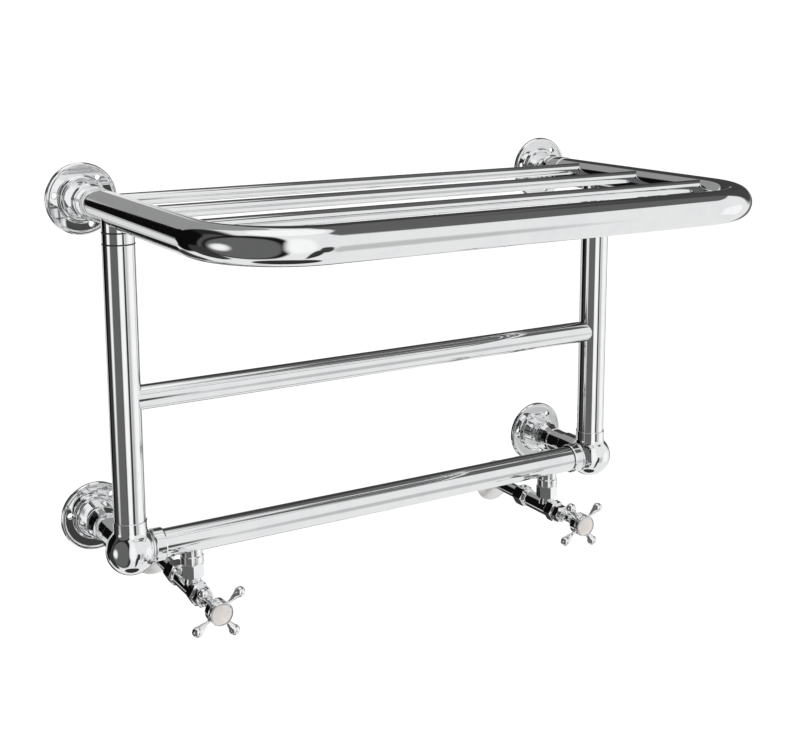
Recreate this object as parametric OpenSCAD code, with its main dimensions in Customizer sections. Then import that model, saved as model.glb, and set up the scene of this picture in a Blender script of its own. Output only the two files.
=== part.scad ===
// Wall-hung heated towel rail with a tubular shelf, two ball joints and two crosshead valves.
// The wall is the plane y = 0 and the rail stands in front of it, towards -y, with z upwards.
// The origin is midway between the four wall flanges.

/* [Frame] */
// Distance between the axes of the two uprights
upright_span = 582; // [460:1:760]
// Height of the shelf tube's axis above the lower rail's axis
shelf_rise = 342; // [280:1:480]
// Height of the middle rail's axis above the lower rail's axis
middle_rise = 156; // [110:1:200]
// Distance from the wall to the uprights' axes
wall_gap = 114; // [108:1:150]
// Distance from the uprights' axes forward to the shelf's front tube axis
shelf_reach = 280; // [250:1:360]
// Bend radius of the shelf's front corners on the tube's axis
bend_r = 85; // [50:1:100]

/* [Tubes] */
// Outer diameter of the shelf tube
shelf_d = 33.5; // [32.5:0.5:36]
// Outer diameter of the uprights
upright_d = 32; // [28:0.5:32]
// Outer diameter of the lower rail
lower_d = 30; // [28:0.5:31]
// Outer diameter of the middle rail
middle_d = 25; // [20:0.5:28]
// Outer diameter of the shelf bars
bar_d = 12.8; // [10:0.2:16]
// Outer diameter of the lower bracket stems
stem_d = 28; // [24:0.5:29]
// Wall thickness of the water-filled tubes
tube_wall = 1.5; // [1:0.1:2]

/* [Shelf bars] */
// Distance from one shelf bar to the next
bar_pitch = 103; // [80:1:110]
// Distance of the rear bar's axis behind the uprights' axes
rear_bar_back = 22; // [10:1:30]
// Height of the bars' axes above the shelf tube's axis
bar_lift = 8; // [0:0.5:9]

/* [Joints] */
// Radius of the ball joints
ball_r = 25.2; // [24:0.2:30]
// Wall of a socket around the tube that it holds
socket_wall = 1; // [0.8:0.1:2]
// Length of a ball joint's upper socket from the ball's centre
socket_reach = 31.5; // [30:0.5:36]
// Length of a ball joint's rear socket from the ball's centre
rear_socket_reach = 46; // [40:1:50]
// Length of the collar on the lower rail
collar_length = 12; // [8:1:20]
// Wall of the collar around the lower rail
collar_wall = 2.2; // [1.5:0.1:4]
// How far an arm's stub reaches below the arm
stub_drop = 2.25; // [1.5:0.25:8]
// Visible length of the sleeve under the arm's stub
sleeve_length = 10.5; // [8:0.5:20]
// Thickness of the seal rings on both sides of the sleeve
seal_t = 0.8; // [0.6:0.1:1.2]

/* [Wall brackets] */
// Outer diameter of the wall flanges
flange_d = 75; // [70:1:90]
// Thickness of the flange's plate
flange_t = 3.5; // [3:0.1:5]
// Diameter of the screw hole circle
screw_pcd = 56; // [54:1:58]
// Diameter of the screw holes
screw_hole_d = 6; // [4:0.5:6.5]
// Angle of the first screw hole, seen from the front
screw_angle = 50; // [0:1:119]
// Distance from the wall to the front of the upper bracket cups
upper_cup_front = 55; // [50:1:60]
// Distance from the wall to the front of the lower bracket cups
lower_cup_front = 45; // [40:1:50]
// How deep a tube sits in its bracket cup
cup_depth = 10; // [6:1:12]

/* [Valves] */
// Distance of a valve's axis inboard of its upright
valve_inset = 64; // [54:1:90]
// Distance of a valve's axis below the lower rail's axis
valve_drop = 55; // [52:1:80]
// Outer diameter of the supply pipes in front of the wall
pipe_d = 16; // [15.5:0.1:16.5]
// Outer diameter of the supply pipes' turned-down ends in the wall
pipe_end_d = 15; // [12:0.5:15]
// How far the supply pipes run into the wall
pipe_tail = 25; // [15:1:60]
// Outer diameter of the pipe cover plates
cover_d = 52; // [44:1:60]
// Radius of the valve tail
tail_r = 12; // [11.5:0.1:13]
// Wall of the valve body around its inlet thread
body_wall = 1; // [0.8:0.1:2]
// Wall of the union nut, the inlet nut and the bonnet around their threads
nut_wall = 1.5; // [1:0.1:3]
// Width across flats of the gland nut
gland_af = 18; // [17:0.5:20]
// Travel of the handle from closed to open, in turns
handle_turns = 2.625; // [1:0.125:3]
// Pitch of the spindle's thread
spindle_pitch = 1.5; // [1:0.25:1.5]

/* [Handles] */
// Distance from a handle's axis to the centres of its end balls
cross_reach = 28; // [24:0.5:34]
// Radius of the end balls
cross_ball_r = 5.6; // [4:0.1:6.5]
// Angle of the first arm of the cross, seen from the front
cross_angle = 35; // [0:1:89]
// Radius of the hub
hub_r = 12.5; // [12:0.1:15]
// Width of the bezel round the ceramic disc
bezel_w = 1.8; // [1:0.1:3]

/* [Clearances] */
// Radial clearance of a turning spindle or screw in its bore
running_gap = 0.05; // [0.02:0.01:0.08]
// Gap between sliding or closing parts
sliding_gap = 0.3; // [0.2:0.05:0.4]

/* [Hidden] */
$fn = 96;

// Colours
chrome = [0.78, 0.79, 0.80];
brass = [0.80, 0.66, 0.36];
rubber = [0.08, 0.08, 0.08];
fibre = [0.55, 0.20, 0.14];
satin = [0.72, 0.71, 0.69];
cream = [0.93, 0.91, 0.87];

// Places of the main axes
left = -1;
right = 1;
upright_x = upright_span / 2;
upright_y = -wall_gap;
shelf_z = shelf_rise / 2;
lower_z = -shelf_rise / 2;
middle_z = lower_z + middle_rise;
front_y = upright_y - shelf_reach;
bend_y = front_y + bend_r;
valve_x = upright_x - valve_inset;
valve_z = lower_z - valve_drop;

// Radii of the tubes
shelf_r = shelf_d / 2;
upright_r = upright_d / 2;
lower_r = lower_d / 2;
middle_r = middle_d / 2;
bar_r = bar_d / 2;
stem_r = stem_d / 2;
pipe_r = pipe_d / 2;
pipe_end_r = pipe_end_d / 2;
upright_bore_r = upright_r - tube_wall;
lower_bore_r = lower_r - tube_wall;
cut = 1; // how far a cutting tool runs past a face

// Shelf arm, sleeve and upright, as depths under the arm's axis
stub_reach = shelf_r + stub_drop;
sleeve_top = stub_reach + seal_t;
sleeve_bottom = sleeve_top + sleeve_length;
upright_top = sleeve_bottom + seal_t;
spigot_wall = 1.5;
spigot_reach = 8;
seal_proud = 0.25;

// Ball joint
seat_depth = upright_r + 1;
neck_wall = 1.2;
neck_end = 21;
water_r = lower_bore_r - spigot_wall;
rear_seat = 30;
rear_wall = 1.5;

// Wall bracket, as heights above the wall
flange_rim_r = 2.5;
flange_bead_at = 21.5;
flange_bead_r = 2.6;
flange_bead_h = 4.8;
flange_floor = 1;
cup_thread_r = 8;
cup_neck_r = 14;
cup_lip_h = 27.5;
cup_lip_r = 2.2;
cup_lip_out = shelf_r + 1.75;
cup_wall = 0.9;
cup_land = 4;
plug_length = 14;

// Valve, as depths under the lower rail's axis
tail_shoulder = 27;
tail_end = 35;
washer_end = 37;
ring_end = 39.5;
union_end = 42;
union_r = 9.5;
union_bore_r = 8;
water_bore_r = 5.5;

// Valve, as distances forward of the uprights' plane
inlet_nut_back = -55;
inlet_shoulder = -50;
inlet_thread_end = -48;
inlet_nut_front = -38;
pipe_seat = -34;
seat_face = -7;
bonnet_thread_end = 4;
body_front = 9;
bonnet_front = 22;
neck_front = 30;
seal_front = 33;
gland_front = 36;
inlet_thread_r = pipe_r + 1;
body_r = inlet_thread_r + body_wall;
nut_af = 2 * (max(union_r, inlet_thread_r) + nut_wall);
chamber_r = 8.2;
cavity_w = 9;
pipe_wall = 0.7;

// Spindle and plug
spindle_r = 3;
rod_r = 2.5;
thrust_r = 4.3;
thrust_back = 19.5;
plug_disc_r = 6.6;
plug_disc_t = 3;
plug_front = 12;
plug_bore_back = -2;
rod_back = plug_bore_back + spindle_pitch * handle_turns + 1;
seal_r = 1.2;
gland_cavity_r = 5.6;
square_w = 4.2;
square_front = 64;

// Handle, as distances forward of the uprights' plane
hub_back = 40;
hub_shoulder = 60;
hub_front = 76.5;
cross_at = 68;
disc_back = 74.5;
disc_front = 77.2;
screw_r = 1.4;
screw_head_r = 3;
screw_head_t = 2;
hub_floor = 70;
disc_r = hub_r - bezel_w;
arm_root_r = 2.4;
arm_neck_r = 1.8;

// Air bleed on the right arm, as distances from the arm's axis
bleed_back = 38;
bleed_reach = shelf_r + 7.25;
bleed_r = 5.5;
bleed_screw_r = 2.5;
bleed_seat = shelf_r + 2.25;
bleed_hole_r = 1.2;
bleed_square = 4.6;
bleed_head = bleed_reach + 4;

// Copies a right-hand piece onto the chosen side
module on_side(side) {
    if (side == left)
        mirror([1, 0, 0]) children();
    else
        children();
}

// Puts a piece that rises along z onto a bracket's axis, rising from the wall
module from_wall(x, z) {
    translate([x, 0, z]) rotate([90, 0, 0]) children();
}

// Puts a piece that rises along z onto a valve's axis, rising forward of the uprights' plane
module on_valve(side) {
    translate([side * valve_x, upright_y, valve_z]) rotate([90, 0, 0]) children();
}

// A cylinder between two heights
module post(r, z0, z1) {
    translate([0, 0, z0]) cylinder(r = r, h = z1 - z0);
}

// A ring between two heights
module ring(r_out, r_in, z0, z1) {
    difference() {
        post(r_out, z0, z1);
        post(r_in, z0 - cut, z1 + cut);
    }
}

// A hexagonal bar between two heights with its top and bottom corners turned off
module hex_bar(af, z0, z1) {
    corner_r = af / sqrt(3);
    bevel = corner_r - af / 2;
    height = z1 - z0;
    intersection() {
        translate([0, 0, z0]) cylinder(r = corner_r, h = height, $fn = 6);
        translate([0, 0, z0]) rotate_extrude()
            polygon([
                [0, 0], [af / 2, 0], [corner_r, bevel], [corner_r, height - bevel],
                [af / 2, height], [0, height]
            ]);
    }
}

// The solid of the shelf's U, round its centre line
module shelf_path(r, arm_end_y) {
    for (side = [left, right]) {
        translate([side * upright_x, bend_y, shelf_z]) rotate([-90, 0, 0])
            cylinder(r = r, h = arm_end_y - bend_y);
        translate([side * (upright_x - bend_r), bend_y, shelf_z])
            rotate([0, 0, side == right ? -90 : 180])
                rotate_extrude(angle = 90) translate([bend_r, 0]) circle(r = r);
    }
    translate([bend_r - upright_x, front_y, shelf_z]) rotate([0, 90, 0])
        cylinder(r = r, h = 2 * (upright_x - bend_r));
}

// The outside of both arms, for cutting the pieces that meet them
module arm_outsides() {
    for (side = [left, right])
        translate([side * upright_x, bend_y, shelf_z]) rotate([-90, 0, 0])
            cylinder(r = shelf_r, h = -bend_y);
}

module shelf_tube() {
    arm_end_y = -(upper_cup_front - cup_depth);
    color(chrome) difference() {
        shelf_path(shelf_r, arm_end_y);
        shelf_path(shelf_r - tube_wall, arm_end_y + cut);
        for (side = [left, right])
            translate([side * upright_x, upright_y, shelf_z - shelf_r - cut])
                cylinder(r = upright_bore_r, h = shelf_r + cut);
        translate([upright_x, upright_y + bleed_back, shelf_z]) rotate([0, 90, 0])
            cylinder(r = bleed_hole_r, h = shelf_r + cut);
    }
}

// One shelf bar, cut to sit against the insides of the arms
module shelf_bar(step) {
    bar_y = upright_y + rear_bar_back - step * bar_pitch;
    color(chrome) difference() {
        translate([-upright_x, bar_y, shelf_z + bar_lift]) rotate([0, 90, 0])
            ring(bar_r, bar_r - tube_wall, 0, 2 * upright_x);
        arm_outsides();
    }
}

module arm_stub(side) {
    color(chrome) difference() {
        translate([side * upright_x, upright_y, shelf_z])
            ring(upright_r, upright_bore_r, -stub_reach, 0);
        arm_outsides();
    }
}

// Sleeve between stub and upright, with a spigot that reaches into both
module arm_sleeve(side) {
    spigot_r = upright_bore_r;
    color(chrome) translate([side * upright_x, upright_y, shelf_z]) difference() {
        union() {
            post(upright_r, -sleeve_bottom, -sleeve_top);
            post(spigot_r, -upright_top - spigot_reach, -shelf_r - tube_wall);
        }
        post(spigot_r - spigot_wall, -upright_top - spigot_reach - cut, cut - shelf_r);
    }
}

module sleeve_seals() {
    color(rubber) for (side = [left, right])
        translate([side * upright_x, upright_y, shelf_z]) {
            ring(upright_r + seal_proud, upright_bore_r, -sleeve_top, -stub_reach);
            ring(upright_r + seal_proud, upright_bore_r, -upright_top, -sleeve_bottom);
        }
}

module upright(side) {
    color(chrome) difference() {
        translate([side * upright_x, upright_y, 0])
            ring(upright_r, upright_bore_r, lower_z + seat_depth, shelf_z - upright_top);
        translate([side * upright_x, upright_y, middle_z]) rotate([0, -side * 90, 0])
            cylinder(r = middle_r - tube_wall, h = upright_r + cut);
    }
}

module middle_rail() {
    color(chrome) difference() {
        translate([-upright_x, upright_y, middle_z]) rotate([0, 90, 0])
            ring(middle_r, middle_r - tube_wall, 0, 2 * upright_x);
        for (side = [left, right])
            translate([side * upright_x, upright_y, middle_z])
                post(upright_r, -middle_d, middle_d);
    }
}

module lower_rail() {
    end_x = upright_x - seat_depth;
    color(chrome) difference() {
        translate([-end_x, upright_y, lower_z]) rotate([0, 90, 0])
            ring(lower_r, lower_bore_r, 0, 2 * end_x);
        for (side = [left, right])
            translate([side * valve_x, upright_y, lower_z])
                post(union_bore_r, -lower_r - cut, 0);
    }
}

// Ball with an upper socket, a rear socket, and a neck and spigot for the lower rail
module ball_joint(side) {
    color(chrome) on_side(side) translate([upright_x, upright_y, lower_z]) difference() {
        union() {
            difference() {
                union() {
                    sphere(r = ball_r);
                    post(upright_r + socket_wall, 0, socket_reach);
                    rotate([0, -90, 0]) post(lower_r + neck_wall, 0, neck_end);
                    rotate([-90, 0, 0]) post(stem_r + rear_wall, 0, rear_socket_reach);
                }
                post(upright_r, seat_depth, socket_reach + cut);
                rotate([0, -90, 0]) post(lower_r, seat_depth, neck_end + cut);
                rotate([-90, 0, 0]) post(stem_r, rear_seat, rear_socket_reach + cut);
            }
            rotate([0, -90, 0]) post(lower_bore_r, seat_depth - cut, socket_reach);
        }
        rotate([0, -90, 0]) post(water_r, 0, socket_reach + cut);
        post(water_r, 0, socket_reach + cut);
        sphere(r = water_r);
    }
}

module rail_collar(side) {
    edge = 1;
    outer_r = lower_r + collar_wall;
    color(chrome) on_side(side) translate([upright_x - neck_end, upright_y, lower_z])
        rotate([0, -90, 0]) rotate_extrude()
            polygon([
                [lower_r, 0], [outer_r - edge, 0], [outer_r, edge],
                [outer_r, collar_length - edge], [outer_r - edge, collar_length],
                [lower_r, collar_length]
            ]);
}

module bracket_stem(side) {
    color(chrome) from_wall(side * upright_x, lower_z)
        ring(stem_r, stem_r - 2 * tube_wall, lower_cup_front - cup_depth, wall_gap - rear_seat);
}

// Plug that closes an arm's rear end and carries it in its cup
module arm_plug(side) {
    inside = upper_cup_front - cup_depth;
    color(brass) from_wall(side * upright_x, shelf_z) {
        post(shelf_r - tube_wall, inside, inside + plug_length);
        post(cup_thread_r, inside - cup_depth, inside);
    }
}

// Bell-shaped cup that screws into a flange and holds a tube's end
module cup(x, z, tube_r, front) {
    mouth_r = tube_r + cup_wall;
    lip_at = cup_lip_out - cup_lip_r;
    land_at = front - cup_land;
    color(chrome) from_wall(x, z) difference() {
        union() {
            post(cup_thread_r, flange_floor, flange_t);
            post(cup_neck_r, flange_t, cup_lip_h);
            rotate_extrude() translate([lip_at, cup_lip_h]) circle(r = cup_lip_r);
            post(lip_at, cup_lip_h - cup_lip_r, cup_lip_h);
            translate([0, 0, cup_lip_h])
                cylinder(r1 = cup_lip_out - 0.8, r2 = mouth_r, h = land_at - cup_lip_h);
            post(mouth_r, land_at, front);
        }
        post(tube_r, front - cup_depth, front + cut);
        post(cup_thread_r, front - 2 * cup_depth, front);
    }
}

// Round flange with a rolled rim, a raised bead and three screw holes
module flange(x, z) {
    rim_at = flange_d / 2 - flange_rim_r;
    color(chrome) from_wall(x, z) difference() {
        rotate_extrude() {
            square([rim_at, flange_t]);
            square([flange_d / 2, flange_rim_r]);
            translate([rim_at, flange_rim_r]) circle(r = flange_rim_r);
            translate([flange_bead_at, flange_bead_h]) circle(r = flange_bead_r);
            translate([flange_bead_at - flange_bead_r, 0])
                square([2 * flange_bead_r, flange_bead_h]);
        }
        post(cup_thread_r, flange_floor, flange_t + cut);
        for (turn = [0:2])
            rotate([0, 0, screw_angle + 120 * turn]) translate([screw_pcd / 2, 0, 0])
                post(screw_hole_d / 2, -cut, 2 * flange_bead_h);
    }
}

// Stub under the lower rail, with a thread for the union nut
module valve_tail(side) {
    color(chrome) translate([side * valve_x, upright_y, lower_z]) difference() {
        union() {
            post(tail_r, -tail_shoulder, 0);
            post(union_r, -tail_end, -tail_shoulder);
        }
        post(union_bore_r, -tail_shoulder, cut);
        post(water_bore_r, -tail_end - cut, cut);
        translate([-tail_r - cut, 0, 0]) rotate([0, 90, 0])
            cylinder(r = lower_r, h = 2 * (tail_r + cut));
    }
}

module union_nut(side) {
    color(chrome) translate([side * valve_x, upright_y, lower_z]) difference() {
        rotate([0, 0, 15]) hex_bar(nut_af, -union_end, -tail_shoulder);
        post(union_r, -ring_end, -tail_shoulder + cut);
        post(union_bore_r, -union_end - cut, -tail_shoulder);
    }
}

module union_washers() {
    color(fibre) for (side = [left, right])
        translate([side * valve_x, upright_y, lower_z])
            ring(union_r, water_bore_r, -washer_end, -tail_end);
}

// Angle body: inlet from the wall, seat in the middle, outlet upwards to the rail
module valve_body(side) {
    color(chrome) difference() {
        union() {
            on_valve(side) {
                post(body_r, inlet_nut_front, body_front);
                post(inlet_thread_r, inlet_thread_end, inlet_nut_front);
            }
            translate([side * valve_x, upright_y, lower_z]) {
                post(union_bore_r, -valve_drop, -ring_end);
                post(union_r, -ring_end, -washer_end);
            }
        }
        on_valve(side) {
            post(pipe_r, inlet_thread_end - cut, pipe_seat);
            post(water_bore_r, pipe_seat - cut, seat_face + cut);
            post(chamber_r, seat_face, body_front + cut);
        }
        translate([side * valve_x, upright_y, lower_z])
            post(water_bore_r, -valve_drop, -washer_end + cut);
    }
}

module inlet_nut(side) {
    color(chrome) on_valve(side) difference() {
        hex_bar(nut_af, inlet_nut_back, inlet_nut_front);
        post(inlet_thread_r, inlet_shoulder, inlet_nut_front + cut);
        post(pipe_r + running_gap, inlet_nut_back - cut, inlet_shoulder + cut);
    }
}

module inlet_olives() {
    color(brass) for (side = [left, right])
        on_valve(side) ring(inlet_thread_r, pipe_r, inlet_shoulder, inlet_thread_end);
}

// Pipe from the wall to the valve, with a smaller end for the fitting inside the wall
module supply_pipe(side) {
    color(chrome) on_valve(side) difference() {
        union() {
            post(pipe_r, -wall_gap, pipe_seat);
            post(pipe_end_r, -wall_gap - pipe_tail, -wall_gap);
        }
        post(pipe_end_r - pipe_wall, -wall_gap - pipe_tail - cut, pipe_seat + cut);
    }
}

// Domed plate that hides the hole in the wall
module pipe_cover(side) {
    dome_h = 9;
    shell = 1.2;
    rim = cover_d / 2;
    sphere_r = (rim * rim + dome_h * dome_h) / (2 * dome_h);
    color(satin) from_wall(side * valve_x, valve_z) difference() {
        intersection() {
            translate([0, 0, dome_h - sphere_r]) sphere(r = sphere_r);
            post(rim, 0, dome_h + cut);
        }
        intersection() {
            translate([0, 0, dome_h - sphere_r]) sphere(r = sphere_r - shell);
            post(rim, -cut, dome_h);
        }
        post(pipe_r + sliding_gap, -cut, dome_h + cut);
    }
}

// Bonnet with a square cavity that keeps the plug from turning
module bonnet(side) {
    color(chrome) on_valve(side) difference() {
        union() {
            post(chamber_r, bonnet_thread_end, body_front);
            hex_bar(nut_af, body_front, bonnet_front);
            post(gland_cavity_r + spigot_wall, bonnet_front, neck_front);
        }
        translate([-cavity_w / 2, -cavity_w / 2, bonnet_thread_end - cut])
            cube([cavity_w, cavity_w, bonnet_front - bonnet_thread_end + cut]);
        post(spindle_r + running_gap, bonnet_front - cut, neck_front + cut);
    }
}

module gland_nut(side) {
    color(chrome) on_valve(side) difference() {
        hex_bar(gland_af, bonnet_front, gland_front);
        post(gland_cavity_r + spigot_wall, bonnet_front - cut, neck_front);
        post(gland_cavity_r, neck_front - cut, seal_front);
        post(spindle_r + sliding_gap, seal_front - cut, gland_front + cut);
    }
}

module spindle_seals() {
    color(rubber) for (side = [left, right])
        on_valve(side) translate([0, 0, (neck_front + seal_front) / 2]) rotate_extrude()
            translate([spindle_r + running_gap + seal_r, 0]) circle(r = seal_r);
}

// Non-rising spindle: thrust collar inside the bonnet, threaded rod behind it, square end in front
module spindle(side) {
    color(brass) on_valve(side) difference() {
        union() {
            post(rod_r, rod_back, thrust_back);
            post(thrust_r, thrust_back, bonnet_front - sliding_gap);
            post(spindle_r, bonnet_front - sliding_gap, hub_shoulder);
            rotate([0, 0, cross_angle]) translate([-square_w / 2, -square_w / 2, hub_shoulder])
                cube([square_w, square_w, square_front - hub_shoulder]);
        }
        post(screw_r, hub_shoulder - screw_head_t, square_front + cut);
    }
}

// Plug that slides on the threaded rod and closes the seat
module valve_plug(side) {
    carrier_w = cavity_w - 2 * sliding_gap;
    disc_end = seat_face + sliding_gap;
    color(brass) on_valve(side) difference() {
        union() {
            post(plug_disc_r, disc_end, disc_end + plug_disc_t);
            translate([-carrier_w / 2, -carrier_w / 2, disc_end + plug_disc_t])
                cube([carrier_w, carrier_w, plug_front - disc_end - plug_disc_t]);
        }
        post(rod_r + running_gap, plug_bore_back, plug_front + cut);
    }
}

// One arm of the cross, rising along x from the hub to its ball
module cross_arm() {
    root = hub_r - 3;
    neck = (root + cross_reach) / 2 - 2;
    rotate([0, 90, 0]) {
        translate([0, 0, root]) cylinder(r1 = arm_root_r, r2 = arm_neck_r, h = neck - root);
        translate([0, 0, neck])
            cylinder(r1 = arm_neck_r, r2 = cross_ball_r * 0.87, h = cross_reach - neck - cross_ball_r / 2);
        translate([0, 0, cross_reach]) sphere(r = cross_ball_r);
    }
}

module cross_handle(side) {
    skirt_r = spindle_r + 2.5;
    bore_r = spindle_r + running_gap;
    color(chrome) on_valve(side) rotate([0, 0, cross_angle]) difference() {
        union() {
            rotate_extrude() polygon([
                [0, hub_back], [skirt_r, hub_back], [skirt_r, hub_back + 8],
                [hub_r - 3, hub_shoulder - 4], [hub_r, hub_shoulder + 2],
                [hub_r, hub_front - 1], [hub_r - 0.6, hub_front], [0, hub_front]
            ]);
            for (turn = [0:3])
                rotate([0, 0, 90 * turn]) translate([0, 0, cross_at]) cross_arm();
        }
        post(bore_r, hub_back - cut, hub_shoulder);
        translate([-square_w / 2, -square_w / 2, hub_shoulder - cut])
            cube([square_w, square_w, square_front - hub_shoulder + cut]);
        post(screw_r, square_front - cut, hub_floor + cut);
        post(screw_head_r + sliding_gap, hub_floor, disc_back + cut);
        post(disc_r, disc_back, hub_front + cut);
    }
}

module handle_screw(side) {
    color(brass) on_valve(side) difference() {
        union() {
            post(screw_r, hub_shoulder, hub_floor);
            post(screw_head_r, hub_floor, hub_floor + screw_head_t);
        }
        translate([-screw_head_r, -0.4, hub_floor + screw_head_t / 2])
            cube([2 * screw_head_r, 0.8, screw_head_t]);
    }
}

module handle_disc(side) {
    color(cream) on_valve(side) {
        post(disc_r, disc_back, hub_front);
        intersection() {
            post(disc_r, hub_front, disc_front);
            translate([0, 0, disc_front - 6 * disc_r]) sphere(r = 6 * disc_r);
        }
    }
}

// Air bleed on the outside of the right arm, beside the wall
module on_bleed() {
    translate([upright_x, upright_y + bleed_back, shelf_z]) rotate([0, 90, 0]) children();
}

module bleed_body() {
    color(chrome) difference() {
        on_bleed() difference() {
            post(bleed_r, 0, bleed_reach);
            post(bleed_screw_r + running_gap, bleed_seat, bleed_reach + cut);
            post(bleed_hole_r, 0, bleed_seat + cut);
        }
        arm_outsides();
    }
}

module bleed_screw() {
    color(brass) on_bleed() {
        post(bleed_screw_r, bleed_seat + sliding_gap, bleed_reach);
        translate([-bleed_square / 2, -bleed_square / 2, bleed_reach + sliding_gap])
            cube([bleed_square, bleed_square, bleed_head - bleed_reach - sliding_gap]);
        post(bleed_screw_r, bleed_reach, bleed_reach + sliding_gap);
    }
}

shelf_tube();
shelf_bar(0);  // shelf_bar_rear
shelf_bar(1);  // shelf_bar_middle
shelf_bar(2);  // shelf_bar_front
arm_stub(left);  // arm_stub_left
arm_stub(right);  // arm_stub_right
arm_sleeve(left);  // arm_sleeve_left
arm_sleeve(right);  // arm_sleeve_right
sleeve_seals();
upright(left);  // upright_left
upright(right);  // upright_right
middle_rail();
lower_rail();
ball_joint(left);  // ball_joint_left
ball_joint(right);  // ball_joint_right
rail_collar(left);  // rail_collar_left
rail_collar(right);  // rail_collar_right
bracket_stem(left);  // bracket_stem_left
bracket_stem(right);  // bracket_stem_right
arm_plug(left);  // arm_plug_left
arm_plug(right);  // arm_plug_right
cup(-upright_x, shelf_z, shelf_r, upper_cup_front);  // cup_upper_left
cup(upright_x, shelf_z, shelf_r, upper_cup_front);  // cup_upper_right
cup(-upright_x, lower_z, stem_r, lower_cup_front);  // cup_lower_left
cup(upright_x, lower_z, stem_r, lower_cup_front);  // cup_lower_right
flange(-upright_x, shelf_z);  // flange_upper_left
flange(upright_x, shelf_z);  // flange_upper_right
flange(-upright_x, lower_z);  // flange_lower_left
flange(upright_x, lower_z);  // flange_lower_right
valve_tail(left);  // valve_tail_left
valve_tail(right);  // valve_tail_right
union_nut(left);  // union_nut_left
union_nut(right);  // union_nut_right
union_washers();
valve_body(left);  // valve_body_left
valve_body(right);  // valve_body_right
inlet_nut(left);  // inlet_nut_left
inlet_nut(right);  // inlet_nut_right
inlet_olives();
supply_pipe(left);  // supply_pipe_left
supply_pipe(right);  // supply_pipe_right
pipe_cover(left);  // pipe_cover_left
pipe_cover(right);  // pipe_cover_right
bonnet(left);  // bonnet_left
bonnet(right);  // bonnet_right
gland_nut(left);  // gland_nut_left
gland_nut(right);  // gland_nut_right
spindle_seals();
spindle(left);  // spindle_left
spindle(right);  // spindle_right
valve_plug(left);  // valve_plug_left
valve_plug(right);  // valve_plug_right
cross_handle(left);  // cross_handle_left
cross_handle(right);  // cross_handle_right
handle_screw(left);  // handle_screw_left
handle_screw(right);  // handle_screw_right
handle_disc(left);  // handle_disc_left
handle_disc(right);  // handle_disc_right
bleed_body();
bleed_screw();
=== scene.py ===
"""A wall-hung chrome towel rail with a tubular shelf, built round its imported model.

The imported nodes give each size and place. The classes below turn, bend and join the finished pieces
in those places, dress them in procedural finishes, and set up a plain pale studio.
"""

import logging
import math
from dataclasses import dataclass
from enum import Enum
from typing import Iterable, Optional, Sequence, Union

import bpy
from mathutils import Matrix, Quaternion, Vector


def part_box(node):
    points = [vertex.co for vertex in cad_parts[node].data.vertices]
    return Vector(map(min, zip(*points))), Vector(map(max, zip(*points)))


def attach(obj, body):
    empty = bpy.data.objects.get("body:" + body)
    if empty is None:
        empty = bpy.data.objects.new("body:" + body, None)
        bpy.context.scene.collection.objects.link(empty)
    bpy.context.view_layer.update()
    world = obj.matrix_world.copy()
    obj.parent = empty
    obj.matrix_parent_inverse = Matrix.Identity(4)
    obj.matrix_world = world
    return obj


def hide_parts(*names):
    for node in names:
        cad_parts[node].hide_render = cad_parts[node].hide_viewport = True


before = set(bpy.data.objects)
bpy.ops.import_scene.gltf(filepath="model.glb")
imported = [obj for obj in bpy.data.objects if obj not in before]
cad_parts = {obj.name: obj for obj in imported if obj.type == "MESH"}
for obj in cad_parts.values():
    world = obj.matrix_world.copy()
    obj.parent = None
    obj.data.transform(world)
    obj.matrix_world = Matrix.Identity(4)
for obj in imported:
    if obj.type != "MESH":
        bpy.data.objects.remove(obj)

LOG = logging.getLogger("towel_rail")
MM = 0.001
SIDES = ("left", "right")
# How much of an outline's side one rounding may take, and how flat a corner is left alone
SIDE_SHARE = 0.45
NEARLY_STRAIGHT = math.radians(178)
# How far from an arc its guard points stand, as shares of its radius and of the room it has
GUARD_OF_RADIUS = 0.25
GUARD_OF_ROOM = 0.1


class Way(Enum):
    """Where a turned piece's own axis points once it is in place."""

    UP = (0.0, 0.0, 1.0)
    DOWN = (0.0, 0.0, -1.0)
    RIGHT = (1.0, 0.0, 0.0)
    LEFT = (-1.0, 0.0, 0.0)
    OUT = (0.0, -1.0, 0.0)
    IN = (0.0, 1.0, 0.0)

    def turn(self) -> Quaternion:
        """The rotation from upright to this way."""
        if self is Way.DOWN:
            return Quaternion((1.0, 0.0, 0.0), math.pi)
        return Vector((0.0, 0.0, 1.0)).rotation_difference(Vector(self.value))


@dataclass(frozen=True)
class Extent:
    """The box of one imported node, in millimetres."""

    lo: Vector
    hi: Vector

    @classmethod
    def of(cls, node: str) -> "Extent":
        """The box of the named node."""
        lo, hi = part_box(node)
        return cls(lo / MM, hi / MM)

    @property
    def mid(self) -> Vector:
        """The box's centre."""
        return (self.lo + self.hi) / 2

    @property
    def size(self) -> Vector:
        """The box's three lengths."""
        return self.hi - self.lo


@dataclass(frozen=True)
class Knee:
    """One corner of an outline: distance from the axis, height along it, and how far it is rounded."""

    r: float
    h: float
    round: float = 0.0


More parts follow.
